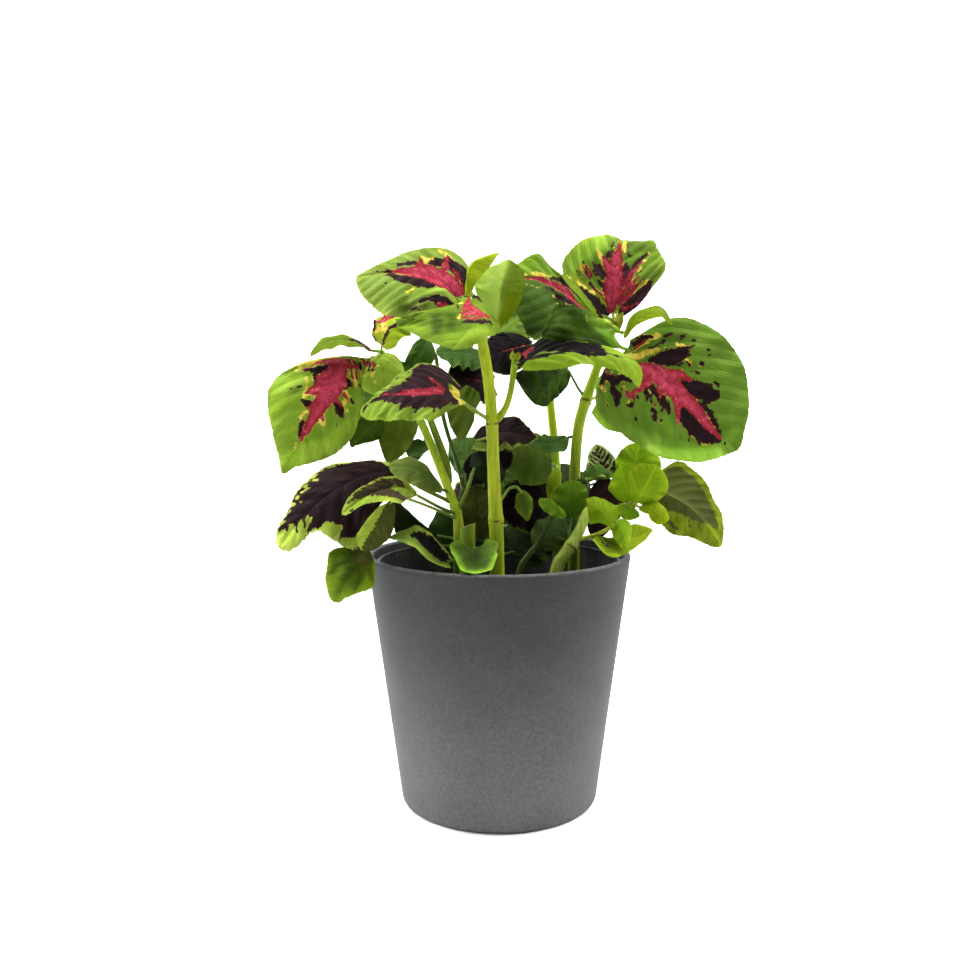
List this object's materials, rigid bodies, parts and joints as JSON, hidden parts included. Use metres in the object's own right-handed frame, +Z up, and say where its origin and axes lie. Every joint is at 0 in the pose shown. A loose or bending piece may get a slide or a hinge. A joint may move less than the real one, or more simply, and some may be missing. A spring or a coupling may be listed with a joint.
{
  "type": "potted coleus",
  "caption": "Coleus with green-edged, dark-blotched, crimson-veined leaves on upright yellow-green stems, in a tapered matt dark grey pot; a small plant for a table, sill or balcony",
  "frame": {"origin": "centre of the flat foot of the cover pot, on the surface it stands on", "axes": "+Z up along the axis of the pot; +X to the right and +Y away from someone who looks at the front of the plant, the side with the large blotched leaves"},
  "size_m": [0.2263, 0.1726, 0.2814],
  "materials": {
    "pot": "matte",
    "grow_pot": "satin",
    "soil": "matte",
    "stem": "satin",
    "stump": "satin",
    "leaf_top": "satin",
    "leaf_young": "satin",
    "leaf_underside": "satin",
    "leaf_dark": "satin",
    "leaf_middle": "satin",
    "leaf_green": "satin",
    "leaf_purple": "satin",
    "leaf_green_purple": "satin",
    "leaf_olive": "satin",
    "leaf_mottled": "satin",
    "leaf_bright": "satin",
    "leaf_purple_underside": "satin"
  },
  "bodies": {
    "root": {"pot": "pot", "grow_pot": "grow_pot", "potting_soil": "soil", "stem_front": "stem", "stem_left": "stem", "stem_left_thin": "stem", "stem_right": "stem", "stem_back_right": "stem", "stem_low_right": "stem", "stem_low_thin": "stem", "cut_stump": "stump", "stem_back": "stem", "leaf_top_left": "leaf_top", "leaf_young_narrow": "leaf_young", "leaf_young_folded": "leaf_underside", "leaf_top_front": "leaf_top", "leaf_top_middle": "leaf_top", "leaf_top_right": "leaf_top", "leaf_young_right": "leaf_middle", "leaf_arched_right": "leaf_young", "leaf_large_right": "leaf_top", "leaf_middle_right": "leaf_top", "leaf_dark_centre": "leaf_dark", "leaf_underside_centre": "leaf_underside", "leaf_large_left": "leaf_top", "leaf_middle_left": "leaf_middle", "leaf_behind_middle_left": "leaf_underside", "leaf_arched_left": "leaf_middle", "leaf_hanging_high_left": "leaf_middle", "leaf_curled_left": "leaf_middle", "leaf_hanging_left": "leaf_underside", "leaf_hanging_inner_left": "leaf_underside", "leaf_purple_large_left": "leaf_purple", "leaf_purple_narrow_left": "leaf_purple", "leaf_olive_left": "leaf_olive", "leaf_rolled_left": "leaf_olive", "leaf_over_rim_left": "leaf_green_purple", "leaf_inside_rim_left": "leaf_green", "leaf_cupped_front": "leaf_green", "leaf_purple_centre": "leaf_purple", "leaf_thin_centre": "leaf_green", "leaf_dark_inner_left": "leaf_dark", "leaf_inner_left": "leaf_underside", "leaf_low_left": "leaf_green", "leaf_low_inner": "leaf_dark", "leaf_small_hanging": "leaf_middle", "leaf_mottled_back": "leaf_mottled", "leaf_edge_right": "leaf_green", "leaf_purple_right": "leaf_purple", "shoot_low_centre": "leaf_green", "leaf_dark_low_left": "leaf_underside", "leaf_thin_inner_left": "leaf_underside", "shoot_right": "leaf_bright", "leaf_purple_large_right": "leaf_purple_underside", "shoot_low_right": "leaf_bright", "leaf_back_right": "leaf_top", "leaf_back_left": "leaf_underside", "leaf_back_low_left": "leaf_purple", "leaf_over_rim_back": "leaf_green_purple"}
  },
  "joints": []
}
